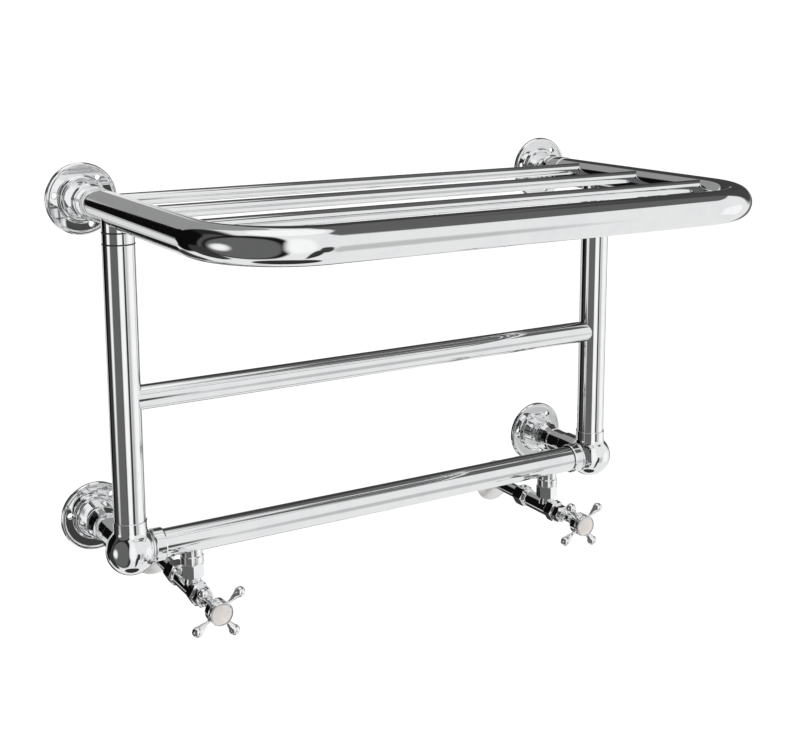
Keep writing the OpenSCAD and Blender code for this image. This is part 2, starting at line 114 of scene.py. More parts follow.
def rounded(
    knees: Sequence[Knee], closed: bool = False, step: float = 14.0,
) -> list[tuple[float, float]]:
    """Replaces the rounded corners of an outline with arcs.

    A point is also set just before and after each arc, so that long straight runs keep true normals.

    Args:
        knees: the outline's corners, in order.
        closed: whether the last corner joins the first.
        step: degrees of arc between two points.

    Returns:
        The points as (radius, height) pairs.
    """
    points: list[tuple[float, float]] = []
    count = len(knees)
    for i, knee in enumerate(knees):
        here = Vector((knee.r, knee.h))
        if knee.round <= 0 or (not closed and i in (0, count - 1)):
            points.append((knee.r, knee.h))
            continue
        before = Vector((knees[i - 1].r, knees[i - 1].h)) - here
        after = Vector((knees[(i + 1) % count].r, knees[(i + 1) % count].h)) - here
        room = SIDE_SHARE * min(before.length, after.length)
        u, v = before.normalized(), after.normalized()
        angle = u.angle(v)
        if angle > NEARLY_STRAIGHT:
            points.append((knee.r, knee.h))
            continue
        back = min(knee.round / math.tan(angle / 2), room)
        radius = back * math.tan(angle / 2)
        centre = here + (u + v).normalized() * (radius / math.sin(angle / 2))
        start, end = here + u * back - centre, here + v * back - centre
        sweep = math.pi - angle
        parts = max(2, math.ceil(math.degrees(sweep) / step))
        sign = 1.0 if start.x * end.y - start.y * end.x > 0 else -1.0
        guard = min(GUARD_OF_RADIUS * radius, room * GUARD_OF_ROOM)
        points.append(tuple(here + u * (back + guard)))
        for k in range(parts + 1):
            a = sign * sweep * k / parts
            points.append((
                centre.x + start.x * math.cos(a) - start.y * math.sin(a),
                centre.y + start.x * math.sin(a) + start.y * math.cos(a),
            ))
        points.append(tuple(here + v * (back + guard)))
    return points


def arc(r: float, h: float, radius: float, first: float, last: float, parts: int) -> list[Knee]:
    """Corners along an arc of an outline.

    Args:
        r: the arc centre's distance from the axis.
        h: the arc centre's height.
        radius: the arc's radius.
        first: its first angle in degrees, from the outward direction towards +h.
        last: its last angle.
        parts: how many pieces it is cut into.

    Returns:
        The corners in order.
    """
    out = []
    for k in range(parts + 1):
        a = math.radians(first + (last - first) * k / parts)
        out.append(Knee(r + radius * math.cos(a), h + radius * math.sin(a)))
    return out


class Bench:
    """The workbench: turns, bends, cuts and joins metal with Blender's own tools."""

    STEPS = 96
    SHARP = math.radians(38)
    OUTLINE_MERGE = 1e-6
    TURNED_MERGE = 2e-6
    NUT_SHARP = math.radians(24)
    NUT_FALL = 0.62
    NUT_FACE = 0.985

    @staticmethod
    def clear() -> None:
        """Leaves nothing selected and no object in edit mode."""
        if bpy.context.object is not None and bpy.context.object.mode != "OBJECT":
            bpy.ops.object.mode_set(mode="OBJECT")
        bpy.ops.object.select_all(action="DESELECT")

    @classmethod
    def only(cls, piece: bpy.types.Object) -> None:
        """Selects one object and makes it the active one.

        Args:
            piece: the object.
        """
        cls.clear()
        piece.select_set(True)
        bpy.context.view_layer.objects.active = piece

    @classmethod
    def settle(cls, piece: bpy.types.Object, at: Iterable[float], way: Way, spin: float = 0.0) -> None:
        """Turns a piece to its way, sets it in its place and applies both.

        Args:
            piece: the finished piece, upright at the origin.
            at: its place in millimetres.
            way: where its axis points.
            spin: a turn about its own axis in degrees, applied first.
        """
        cls.only(piece)
        piece.rotation_mode = "QUATERNION"
        piece.rotation_quaternion = way.turn() @ Quaternion((0, 0, 1), math.radians(spin))
        piece.location = Vector(at) * MM
        bpy.ops.object.transform_apply(location=True, rotation=True, scale=True)

    @classmethod
    def smooth(cls, piece: bpy.types.Object, sharp: float = SHARP) -> None:
        """Shades a piece smooth, keeping edges sharper than an angle."""
        cls.only(piece)
        bpy.ops.object.shade_smooth_by_angle(angle=sharp)

    @classmethod
    def turned(
        cls, name: str, knees: Sequence[Knee], at: Iterable[float] = (0, 0, 0), way: Way = Way.UP,
        closed: bool = False, steps: int = STEPS,
    ) -> bpy.types.Object:
        """Turns an outline into a closed solid, as on a lathe.

        Args:
            name: the new piece's name.
            knees: the outline, from the axis back to the axis, or a closed loop.
            at: where the outline's zero height lies, in millimetres.
            way: where the axis points.
            closed: whether the outline is a loop that stays clear of the axis.
            steps: how many steps the full turn takes.

        Returns:
            The piece, in place.
        """
        points = rounded(knees, closed)
        if closed:
            points.append(points[0])
        cls.clear()
        bpy.ops.mesh.primitive_plane_add(size=0.002, location=(0, 0, 0))
        piece = bpy.context.object
        piece.name = piece.data.name = name
        bpy.ops.object.mode_set(mode="EDIT")
        bpy.ops.mesh.select_all(action="SELECT")
        bpy.ops.mesh.merge(type="CENTER")
        bpy.ops.transform.translate(value=(points[0][0] * MM, 0, points[0][1] * MM))
        for (r0, h0), (r1, h1) in zip(points, points[1:]):
            move = ((r1 - r0) * MM, 0, (h1 - h0) * MM)
            bpy.ops.mesh.extrude_region_move(TRANSFORM_OT_translate={"value": move})
        bpy.ops.mesh.select_all(action="SELECT")
        bpy.ops.mesh.remove_doubles(threshold=cls.OUTLINE_MERGE)
        bpy.ops.mesh.select_all(action="SELECT")
        bpy.ops.mesh.spin(steps=steps, dupli=False, angle=math.tau, center=(0, 0, 0), axis=(0, 0, 1))
        bpy.ops.mesh.select_all(action="SELECT")
        bpy.ops.mesh.remove_doubles(threshold=cls.TURNED_MERGE)
        bpy.ops.mesh.normals_make_consistent(inside=False)
        bpy.ops.object.mode_set(mode="OBJECT")
        cls.settle(piece, at, way)
        cls.smooth(piece)
        return piece

    @classmethod
    def apply(cls, piece: bpy.types.Object, modifier: bpy.types.Modifier) -> None:
        """Applies one modifier of a piece."""
        cls.only(piece)
        bpy.ops.object.modifier_apply(modifier=modifier.name)

    @classmethod
    def combine(cls, piece: bpy.types.Object, other: bpy.types.Object, how: str) -> bpy.types.Object:
        """Joins, cuts or trims a piece with another, which is used up.

        Args:
            piece: the piece that stays.
            other: the tool or the second piece.
            how: UNION, DIFFERENCE or INTERSECT.

        Returns:
            The piece.
        """
        made = piece.modifiers.new("combine", "BOOLEAN")
        made.operation = how
        made.solver = "EXACT"
        made.object = other
        cls.apply(piece, made)
        mesh = other.data
        bpy.data.objects.remove(other)
        bpy.data.meshes.remove(mesh)
        return piece

    @classmethod
    def hexagon(
        cls, name: str, flats: float, low: float, high: float, at: Iterable[float], way: Way,
        spin: float = 0.0, edge: float = 0.35,
    ) -> bpy.types.Object:
        """A hexagonal nut with turned-off corners and softened edges.

        Args:
            name: the new piece's name.
            flats: width across flats in millimetres.
            low: its lower end's height.
            high: its upper end's height.
            at: where zero height lies.
            way: where the axis points.
            spin: a turn about its own axis in degrees.
            edge: how far its edges are softened.

        Returns:
            The nut, in place.
        """
        corner = flats / math.sqrt(3)
        cls.clear()
        bpy.ops.mesh.primitive_cylinder_add(
            vertices=6, radius=corner * MM, depth=(high - low) * MM,
            location=(0, 0, (low + high) / 2 * MM), rotation=(0, 0, math.radians(30)),
        )
        nut = bpy.context.object
        nut.name = nut.data.name = name
        bpy.ops.object.transform_apply(location=True, rotation=True, scale=True)
        fall = (corner - flats / 2) * cls.NUT_FALL
        face = flats / 2 * cls.NUT_FACE
        wide = corner + 0.3
        foot, head = low - 0.01, high + 0.01
        cone = cls.turned(name + "_cone", [
            Knee(0, foot), Knee(face, foot), Knee(wide, low + fall + 0.2),
            Knee(wide, high - fall - 0.2), Knee(face, head), Knee(0, head),
        ])
        cls.combine(nut, cone, "INTERSECT")
        soft = nut.modifiers.new("soft", "BEVEL")
        soft.width, soft.segments, soft.limit_method = edge * MM, 3, "ANGLE"
        soft.angle_limit = cls.NUT_SHARP
        soft.harden_normals = True
        cls.only(nut)
        bpy.ops.object.shade_smooth()
        cls.apply(nut, soft)
        cls.settle(nut, at, way, spin)
        return nut

    @classmethod
    def copy(
        cls, piece: bpy.types.Object, name: str, by: Iterable[float] = (0, 0, 0),
    ) -> bpy.types.Object:
        """Copies a piece, with a mesh of its own.

        Args:
            piece: the piece to copy.
            name: the copy's name.
            by: how far the copy is moved, in millimetres.

        Returns:
            The copy.
        """
        twin = piece.copy()
        twin.data = piece.data.copy()
        twin.name = twin.data.name = name
        bpy.context.scene.collection.objects.link(twin)
        cls.settle(twin, by, Way.UP)
        return twin

    @classmethod
    def mirrored(cls, piece: bpy.types.Object, name: str) -> bpy.types.Object:
        """Copies a piece, mirrored from one side of the rail to the other.

        Args:
            piece: the piece to copy.
            name: the copy's name.

        Returns:
            The mirrored copy.
        """
        twin = cls.copy(piece, name)
        cls.only(twin)
        bpy.ops.transform.mirror(constraint_axis=(True, False, False), center_override=(0, 0, 0))
        bpy.ops.object.transform_apply(location=True, rotation=True, scale=True)
        bpy.ops.object.mode_set(mode="EDIT")
        bpy.ops.mesh.select_all(action="SELECT")
        bpy.ops.mesh.normals_make_consistent(inside=False)
        bpy.ops.object.mode_set(mode="OBJECT")
        return twin

    @classmethod
    def join(cls, pieces: Sequence[bpy.types.Object], name: str) -> bpy.types.Object:
        """Makes several parts one object, which takes the first part's place.

        Args:
            pieces: the parts.
            name: the whole's name.

        Returns:
            The whole.
        """
        cls.only(pieces[0])
        for part in pieces:
            part.select_set(True)
        bpy.ops.object.join()
        whole = bpy.context.object
        whole.name = whole.data.name = name
        return whole


class Val:
    """A number that changes over a surface, with Python's arithmetic."""

    def __init__(self, graph: "Graph", socket: bpy.types.NodeSocket) -> None:
        """Wraps one output socket of a graph."""
        self.graph, self.socket = graph, socket

    def _maths(self, operation: str, *values: Union["Val", float]) -> "Val":
        """One Math node on these values."""
        return self.graph.maths(operation, *values)

    def __add__(self, other: Union["Val", float]) -> "Val":
        """Sum."""
        return self._maths("ADD", self, other)

    __radd__ = __add__

    def __sub__(self, other: Union["Val", float]) -> "Val":
        """Difference."""
        return self._maths("SUBTRACT", self, other)

    def __rsub__(self, other: float) -> "Val":
        """Difference from a number."""
        return self._maths("SUBTRACT", other, self)

    def __mul__(self, other: Union["Val", float]) -> "Val":
        """Product."""
        return self._maths("MULTIPLY", self, other)

    __rmul__ = __mul__

    def __pow__(self, other: float) -> "Val":
        """Power."""
        return self._maths("POWER", self, other)

    def size(self) -> "Val":
        """The value without its sign."""
        return self._maths("ABSOLUTE", self)

    def clipped(self) -> "Val":
        """The value held between 0 and 1."""
        return self._maths("MINIMUM", self._maths("MAXIMUM", self, 0.0), 1.0)

    def ramp(self, low: float, high: float) -> "Val":
        """A smooth step.

        Args:
            low: where it is still 0.
            high: where it has come to 1.

        Returns:
            The step.
        """
        node = self.graph.node(
            "ShaderNodeMapRange", {"interpolation_type": "SMOOTHSTEP"},
            {"Value": self, "From Min": low, "From Max": high},
        )
        return Val(self.graph, node.outputs["Result"])


class Graph:
    """The nodes of one material or world, built by one method."""

    def __init__(self, tree: bpy.types.NodeTree) -> None:
        """Starts with an empty tree."""
        self.tree = tree
        tree.nodes.clear()

    def node(
        self, kind: str, settings: Optional[dict] = None, inputs: Optional[dict] = None,
    ) -> bpy.types.Node:
        """Adds a node, sets its settings first and then its sockets.

        Args:
            kind: the node's type.
            settings: its attributes by name.
            inputs: numbers, colours, Vals or sockets by socket name or index.

        Returns:
            The node.
        """
        made = self.tree.nodes.new(kind)
        for key, value in (settings or {}).items():
            setattr(made, key, value)
        for key, value in (inputs or {}).items():
            if isinstance(value, Val):
                value = value.socket
            if isinstance(value, bpy.types.NodeSocket):
                self.tree.links.new(value, made.inputs[key])
            else:
                made.inputs[key].default_value = value
        return made

    def maths(self, operation: str, *values: Union[Val, float]) -> Val:
        """A Math node on numbers and Vals."""
        inputs = dict(enumerate(values))
        return Val(self, self.node("ShaderNodeMath", {"operation": operation}, inputs).outputs[0])

    def place(self, scale: Sequence[float] = (1.0, 1.0, 1.0)) -> bpy.types.NodeSocket:
        """The surface's own coordinates, in metres times scale."""
        spot = self.node("ShaderNodeTexCoord").outputs["Object"]
        return self.node("ShaderNodeMapping", {}, {"Vector": spot, "Scale": scale}).outputs["Vector"]

    def noise(
        self, scale: float, detail: float = 3.0, stretch: Sequence[float] = (1.0, 1.0, 1.0),
    ) -> Val:
        """Soft random variation.

        Args:
            scale: features per metre.
            detail: how many finer layers it has.
            stretch: a scale for each direction.

        Returns:
            A Val round 0.5.
        """
        inputs = {"Vector": self.place(stretch), "Scale": scale, "Detail": detail}
        made = self.node("ShaderNodeTexNoise", {}, inputs)
        return Val(self, made.outputs["Fac"])

    def blend(self, mask: Val, low: Sequence[float], high: Sequence[float]) -> bpy.types.NodeSocket:
        """A colour between two.

        Args:
            mask: 0 for the first colour, 1 for the second.
            low: the first colour.
            high: the second colour.

        Returns:
            The mixed colour.
        """
        made = self.node("ShaderNodeMix", {"data_type": "RGBA"}, {"Factor": mask})
        for end, colour in (("A", low), ("B", high)):
            socket = next(s for s in made.inputs if s.name == end and s.type == "RGBA")
            socket.default_value = (*colour, 1.0)
        return next(s for s in made.outputs if s.type == "RGBA")

    def bump(self, height: Val, depth: float, strength: float = 1.0) -> bpy.types.NodeSocket:
        """A normal disturbed by a height.

        Args:
            height: the height, from 0 to 1.
            depth: what a height of 1 stands for, in metres.
            strength: how much of it shows.

        Returns:
            The disturbed normal.
        """
        inputs = {"Height": height, "Distance": depth, "Strength": strength}
        return self.node("ShaderNodeBump", {}, inputs).outputs["Normal"]


@dataclass(frozen=True)
class Finish:
    """What all finishes share: a name and how the surface shader is filled."""

    name: str

    def sockets(self, graph: Graph) -> dict:
        """The shader's sockets for this finish.

        Args:
            graph: the material's nodes.

        Returns:
            The shader's values and links by socket name.
        """
        return {}

    def make(self) -> bpy.types.Material:
        """Makes the material, or finds it if it was made before.

        Returns:
            The material.
        """
        if self.name in bpy.data.materials:
            return bpy.data.materials[self.name]
        material = bpy.data.materials.new(self.name)
        material.use_nodes = True
        graph = Graph(material.node_tree)
        shader = graph.node("ShaderNodeBsdfPrincipled", {}, self.sockets(graph))
        graph.node("ShaderNodeOutputMaterial", {}, {"Surface": shader.outputs[0]})
        return material

    def dress(self, piece: bpy.types.Object) -> None:
        """Gives a piece this finish alone."""
        piece.data.materials.clear()
        piece.data.materials.append(self.make())


@dataclass(frozen=True)
class PolishedChrome(Finish):
    """Bright chrome plate: a clear mirror with faint polishing haze and a few wiped marks."""

    name: str = "polished_chrome"
    colour: tuple[float, float, float] = (0.92, 0.925, 0.93)
    deep: tuple[float, float, float] = (0.86, 0.87, 0.885)
    gloss: float = 0.035
    haze_scale: float = 38.0
    wipe_scale: float = 150.0
    swirl_scale: float = 900.0

    def sockets(self, graph: Graph) -> dict:
        """Mirror metal whose haze and tint change a little from place to place.

        Args:
            graph: the material's nodes.

        Returns:
            The shader's values and links by socket name.
        """
        haze = graph.noise(self.haze_scale, 4.0).ramp(0.42, 0.72)
        wiped = graph.noise(self.wipe_scale, 2.0, (1.0, 1.0, 0.25)).ramp(0.5, 0.8)
        swirl = graph.noise(self.swirl_scale, 2.0)
        return {
            "Base Color": graph.blend(haze * 0.6 + wiped * 0.25, self.colour, self.deep),
            "Metallic": 1.0,
            "Roughness": haze * 0.03 + wiped * 0.02 + self.gloss,
            "Normal": graph.bump(swirl, 0.000004, 0.5),
        }


@dataclass(frozen=True)
class SatinPlate(Finish):
    """Pale satin plate with fine turning lines."""

    name: str = "satin_plate"
    dark: tuple[float, float, float] = (0.84, 0.83, 0.82)
    light: tuple[float, float, float] = (0.90, 0.89, 0.88)
    gloss: float = 0.26
    grain_scale: float = 2600.0
    cloud_scale: float = 60.0

    def sockets(self, graph: Graph) -> dict:
        """Soft metal with a spun grain.

        Args:
            graph: the material's nodes.

        Returns:
            The shader's values and links by socket name.
        """
        grain = graph.noise(self.grain_scale, 2.0)
        cloud = graph.noise(self.cloud_scale, 3.0)
        return {
            "Base Color": graph.blend(cloud, self.dark, self.light),
            "Metallic": 1.0,
            "Roughness": cloud * 0.08 + grain * 0.05 + self.gloss,
            "Normal": graph.bump(grain, 0.00001, 0.4),
        }


@dataclass(frozen=True)
class GlazedCeramic(Finish):
    """Cream-white glazed ceramic with faint specks under the glaze."""

    name: str = "glazed_ceramic"
    glaze: tuple[float, float, float] = (0.86, 0.82, 0.78)
    speck: tuple[float, float, float] = (0.78, 0.73, 0.69)
    gloss: float = 0.16
    cloud_scale: float = 180.0
    speck_scale: float = 2400.0

    def sockets(self, graph: Graph) -> dict:
        """White body, a clear coat and slight unevenness of the glaze.

        Args:
            graph: the material's nodes.

        Returns:
            The shader's values and links by socket name.
        """
        cloud = graph.noise(self.cloud_scale, 4.0).ramp(0.3, 0.75)
        specks = graph.noise(self.speck_scale, 1.0).ramp(0.66, 0.74)
        return {
            "Base Color": graph.blend((cloud + specks * 0.8).clipped(), self.glaze, self.speck),
            "Roughness": cloud * 0.06 + self.gloss,
            "Coat Weight": 0.6,
            "Coat Roughness": 0.05,
            "Normal": graph.bump(cloud, 0.00003, 0.4),
        }


@dataclass(frozen=True)
class MachinedBrass(Finish):
    """Bare brass with fine cutter marks and a little tarnish."""

    name: str = "machined_brass"
    bright: tuple[float, float, float] = (0.80, 0.62, 0.30)
    tarnished: tuple[float, float, float] = (0.52, 0.37, 0.17)
    gloss: float = 0.18
    tarnish_scale: float = 90.0
    mark_scale: float = 1500.0

    def sockets(self, graph: Graph) -> dict:
        """Yellow metal, duller where it has tarnished.

        Args:
            graph: the material's nodes.

        Returns:
            The shader's values and links by socket name.
        """
        tarnish = graph.noise(self.tarnish_scale, 5.0).ramp(0.45, 0.75)
        marks = graph.noise(self.mark_scale, 1.0)
        return {
            "Base Color": graph.blend(tarnish, self.bright, self.tarnished),
            "Metallic": 1.0,
            "Roughness": tarnish * 0.2 + marks * 0.08 + self.gloss,
            "Normal": graph.bump(marks, 0.00002, 0.5),
        }


@dataclass(frozen=True)
class SealRubber(Finish):
    """Black moulded rubber."""

    name: str = "seal_rubber"
    black: tuple[float, float, float] = (0.012, 0.012, 0.013)
    grey: tuple[float, float, float] = (0.035, 0.035, 0.036)
    gloss: float = 0.5
    pit_scale: float = 1800.0

    def sockets(self, graph: Graph) -> dict:
        """Near black, dull and finely pitted.

        Args:
            graph: the material's nodes.

        Returns:
            The shader's values and links by socket name.
        """
        pits = graph.noise(self.pit_scale, 3.0)
        return {
            "Base Color": graph.blend(pits, self.black, self.grey),
            "Roughness": pits * 0.2 + self.gloss,
            "Normal": graph.bump(pits, 0.00003, 0.5),
        }


@dataclass(frozen=True)
class RedFibre(Finish):
    """Pressed red fibre, as plumbers' washers are made of."""

    name: str = "red_fibre"
    brick: tuple[float, float, float] = (0.30, 0.07, 0.045)
    strand: tuple[float, float, float] = (0.48, 0.15, 0.10)
    gloss: float = 0.7
    fibre_scale: float = 1200.0

    def sockets(self, graph: Graph) -> dict:
        """Matt brick red with short fibres.

        Args:
            graph: the material's nodes.

        Returns:
            The shader's values and links by socket name.
        """
        fibres = graph.noise(self.fibre_scale, 4.0, (1.0, 3.0, 1.0))
        return {
            "Base Color": graph.blend(fibres, self.brick, self.strand),
            "Roughness": fibres * 0.15 + self.gloss,
            "Normal": graph.bump(fibres, 0.00006, 0.6),
        }


CHROME = PolishedChrome()
SATIN = SatinPlate()
CERAMIC = GlazedCeramic()
BRASS = MachinedBrass()
RUBBER = SealRubber()
FIBRE = RedFibre()


class SubAssembly:
    """What every sub-assembly does with its finished pieces."""

    body = "rail"

    def keep(
        self, piece: bpy.types.Object, nodes: Sequence[str], finish: Finish, slot: str,
        body: Optional[str] = None,
    ) -> bpy.types.Object:
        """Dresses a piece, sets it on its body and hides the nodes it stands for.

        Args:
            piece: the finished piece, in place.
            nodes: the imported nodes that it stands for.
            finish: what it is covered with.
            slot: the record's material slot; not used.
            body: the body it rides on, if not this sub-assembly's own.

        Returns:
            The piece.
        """
        finish.dress(piece)
        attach(piece, body or self.body)
        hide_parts(*nodes)
        LOG.info("%s: %d faces for %s", piece.name, len(piece.data.polygons), ", ".join(nodes))
        return piece


@dataclass
class Shelf(SubAssembly):
    """The tubular shelf: one bent tube, its bars, and the joints down to the uprights."""

    bend_r: float = 85.0
    steps_per_bend: int = 48
    end_round: float = 0.3
    stub_depth: float = 13.0
    # Width of the gap at each sleeve end. It holds a black seal ring that also serves as painted shade for
    # the dark line there.
    seal_and_shade_line: float = 0.8

    def build(self) -> None:
        """Makes all of the shelf's pieces."""
        self.tube = Extent.of("shelf_tube")
        self.axis_z = self.tube.mid.z
        self.tube_r = self.tube.size.z / 2
        self.arm_x = self.tube.size.x / 2 - self.tube_r
        self.bent_tube()
        for place in ("rear", "middle", "front"):
            self.bar(place)
        for side in SIDES:
            self.arm_joint(side)

    def bent_tube(self) -> None:
        """Pushes a ring round the U: arm, corner, front, corner, arm."""
        front_y = self.tube.lo.y + self.tube_r
        rear_y = self.tube.hi.y
        bend = self.bend_r
        Bench.clear()
        bpy.ops.mesh.primitive_circle_add(
            vertices=Bench.STEPS, radius=self.tube_r * MM, fill_type="NOTHING",
            rotation=(math.pi / 2, 0, 0), location=(-self.arm_x * MM, rear_y * MM, self.axis_z * MM),
        )
        tube = bpy.context.object
        tube.name = tube.data.name = "bent_shelf_tube"
        bpy.ops.object.transform_apply(location=True, rotation=True, scale=True)
        bpy.ops.object.mode_set(mode="EDIT")
        bpy.ops.mesh.select_all(action="SELECT")
        bend_y = front_y + bend
        self.push((0, bend_y - rear_y, 0))
        self.corner((bend - self.arm_x, bend_y, self.axis_z))
        self.push((2 * (self.arm_x - bend), 0, 0))
        self.corner((self.arm_x - bend, bend_y, self.axis_z))
        self.push((0, rear_y - bend_y, 0))
        bpy.ops.mesh.select_all(action="DESELECT")
        bpy.ops.mesh.select_non_manifold()
        bpy.ops.mesh.edge_face_add()
        bpy.ops.mesh.select_all(action="SELECT")
        bpy.ops.mesh.normals_make_consistent(inside=False)
        bpy.ops.object.mode_set(mode="OBJECT")
        Bench.smooth(tube)
        self.keep(tube, ["shelf_tube"], CHROME, "chrome")

    def push(self, by: Sequence[float]) -> None:
        """Extrudes the open ring along a straight run, with a short step at each end.

        Args:
            by: the run in millimetres.
        """
        run = Vector(by) * MM
        step = run.normalized() * MM
        for part in (step, run - 2 * step, step):
            bpy.ops.mesh.extrude_region_move(TRANSFORM_OT_translate={"value": tuple(part)})

    def corner(self, centre: Sequence[float]) -> None:
        """Spins the open ring a quarter turn round a corner's centre."""
        bpy.ops.mesh.spin(
            steps=self.steps_per_bend, dupli=False, angle=-math.pi / 2,
            center=tuple(v * MM for v in centre), axis=(0, 0, 1),
        )

    def bar(self, place: str) -> None:
        """Makes one shelf bar, whose ends run into the arms.

        Args:
            place: rear, middle or front.
        """
        node = Extent.of(f"shelf_bar_{place}")
        r, half = node.size.z / 2, node.size.x / 2
        at = (0, node.mid.y, node.mid.z)
        bar = Bench.turned(
            f"shelf_bar_{place}_tube",
            [Knee(0, -half), Knee(r, -half, self.end_round), Knee(r, half, self.end_round), Knee(0, half)],
            at, Way.RIGHT, steps=64,
        )
        self.keep(bar, [f"shelf_bar_{place}"], CHROME, "chrome")

    def arm_joint(self, side: str) -> None:
        """Makes the stub under one arm and the sleeve below it, with a gap at each end for a black rubber
        seal ring, which also serves as painted shade for the dark line at each end of the sleeve.

        Args:
            side: left or right.
        """
        stub = Extent.of(f"arm_stub_{side}")
        upright = Extent.of(f"upright_{side}")
        r = stub.size.x / 2
        at = (stub.mid.x, stub.mid.y, self.axis_z)
        low = stub.lo.z - self.axis_z
        root = self.stub_depth - self.tube_r
        made = Bench.turned(
            f"stub_{side}", [Knee(0, low), Knee(r, low, 0.5), Knee(r, root), Knee(0, root)], at)
        self.keep(made, [f"arm_stub_{side}"], CHROME, "chrome")
        # The gaps at the sleeve's ends hold the black seal rings, which also give the painted shade of the
        # dark line there.
        top = low - self.seal_and_shade_line
        bottom = upright.hi.z - self.axis_z + self.seal_and_shade_line
        made = Bench.turned(
            f"sleeve_{side}",
            [Knee(0, bottom), Knee(r, bottom, 0.45), Knee(r, top, 0.45), Knee(0, top)], at)
        self.keep(made, [f"arm_sleeve_{side}"], CHROME, "chrome")


@dataclass
class Rails(SubAssembly):
    """Uprights, the two rails, and the ball joints with their collars."""

    socket_lip: float = 0.7
    fillet: float = 7.0
    side_fillet: float = 3.0
    up_wall: float = 1.0
    rail_wall: float = 1.2
    stem_wall: float = 1.5
    up_gap: float = 0.15
    stem_gap: float = 0.1
    mouth_depth: float = 2.5
    end_round: float = 0.3
    ball_stop: float = 87.0
    ball_steps: int = 58
    fillet_steps: int = 8

    def build(self) -> None:
        """Makes the uprights, the rails and the joints."""
        self.lower = Extent.of("lower_rail")
        for side in SIDES:
            self.upright(side)
        self.rail("middle_rail")
        self.rail("lower_rail")
        joint = self.ball_joint("right")
        self.keep(joint, ["ball_joint_right"], CHROME, "chrome")
        twin = Bench.mirrored(joint, "ball_elbow_left")
        self.keep(twin, ["ball_joint_left"], CHROME, "chrome")
        self.collar("left", Way.RIGHT)
        self.collar("right", Way.LEFT)

    def upright(self, side: str) -> None:
        """Makes one upright tube with softened ends.

        Args:
            side: left or right.
        """
        node = Extent.of(f"upright_{side}")
        r, high = node.size.x / 2, node.size.z
        tube = Bench.turned(f"upright_tube_{side}", [
            Knee(0, 0), Knee(r, 0, 0.4), Knee(r, high, 0.5), Knee(0, high)],
            (node.mid.x, node.mid.y, node.lo.z))
        self.keep(tube, [f"upright_{side}"], CHROME, "chrome")

    def rail(self, name: str) -> None:
        """Makes one horizontal rail, whose ends run into the uprights or the ball joints.

        Args:
            name: its node.
        """
        node = Extent.of(name)
        r, half = node.size.z / 2, node.size.x / 2
        tube = Bench.turned(f"{name}_tube", [
            Knee(0, -half), Knee(r, -half, self.end_round), Knee(r, half, self.end_round), Knee(0, half)],
            node.mid, Way.RIGHT)
        self.keep(tube, [name], CHROME, "chrome")

    def limb(
        self, name: str, ball_r: float, r: float, end: float, bore: float, fillet: float, at: Vector,
        way: Way,
    ) -> bpy.types.Object:
        """One socket of a ball joint, flowing out of the ball with a cast fillet.

        Args:
            name: the new part's name.
            ball_r: the ball's radius.
            r: the socket's outer radius.
            end: its length from the ball's centre.
            bore: its mouth's radius.
            fillet: the fillet's radius.
            at: the ball's centre.
            way: where the socket points.

        Returns:
            The socket.
        """
        tilt = math.acos(min(1.0, (r + fillet) / (ball_r + fillet)))
        rise = (ball_r + fillet) * math.sin(tilt)
        touch = Knee(ball_r * math.cos(tilt), ball_r * math.sin(tilt))
        knees = [Knee(0, 1.0), Knee(touch.r * 0.55, touch.h * 0.55), touch]
        knees += arc(r + fillet, rise, fillet, 180 + math.degrees(tilt), 180, self.fillet_steps)[1:]
        floor = end - self.mouth_depth
        knees += [Knee(r, end - 1.2), Knee(r, end, self.socket_lip)]
        knees += [Knee(bore, end, 0.25), Knee(bore, floor), Knee(0, floor)]
        return Bench.turned(name, knees, at, way)

    def ball_joint(self, side: str) -> bpy.types.Object:
        """Makes a cast ball with three sockets: up, to the left and towards the wall.

        Args:
            side: the side whose nodes give its sizes.

        Returns:
            The ball joint.
        """
        node = Extent.of(f"ball_joint_{side}")
        upright = Extent.of(f"upright_{side}")
        stem = Extent.of(f"bracket_stem_{side}")
        collar = Extent.of(f"rail_collar_{side}")
        at = Vector((upright.mid.x, upright.mid.y, self.lower.mid.z))
        ball_r = node.hi.x - at.x
        up_r, rail_r, stem_r = upright.size.x / 2, self.lower.size.z / 2, stem.size.x / 2
        round_part = arc(0, 0, ball_r, -self.ball_stop, self.ball_stop, self.ball_steps)
        ball = Bench.turned("ball", [Knee(0, -ball_r)] + round_part + [Knee(0, ball_r)], at, Way.OUT)
        up = self.limb(
            "up", ball_r, up_r + self.up_wall, node.hi.z - at.z, up_r + self.up_gap, self.fillet,
            at, Way.UP)
        inward = self.limb(
            "inward", ball_r, rail_r + self.rail_wall, at.x - collar.hi.x, rail_r, self.side_fillet,
            at, Way.LEFT)
        rear = self.limb(
            "rear", ball_r, stem_r + self.stem_wall, node.hi.y - at.y, stem_r + self.stem_gap,
            self.side_fillet, at, Way.IN)
        return Bench.join([ball, up, inward, rear], f"ball_elbow_{side}")

    def collar(self, side: str, way: Way) -> None:
        """Makes the ring on the lower rail beside a ball joint.

        Args:
            side: left or right.
            way: away from the ball joint.
        """
        node = Extent.of(f"rail_collar_{side}")
        r, bore, long = node.size.z / 2, self.lower.size.z / 2, node.size.x
        start = node.hi.x if way is Way.LEFT else node.lo.x
        ring = Bench.turned(f"collar_ring_{side}", [
            Knee(bore - 0.5, 0), Knee(r - 0.5, 0.3, 0.5), Knee(r, 1.6, 0.8), Knee(r, long - 1.4, 0.8),
            Knee(r - 0.7, long, 0.5), Knee(bore - 0.5, long)],
            (start, node.mid.y, node.mid.z), way, closed=True)
        self.keep(ring, [f"rail_collar_{side}"], CHROME, "chrome")


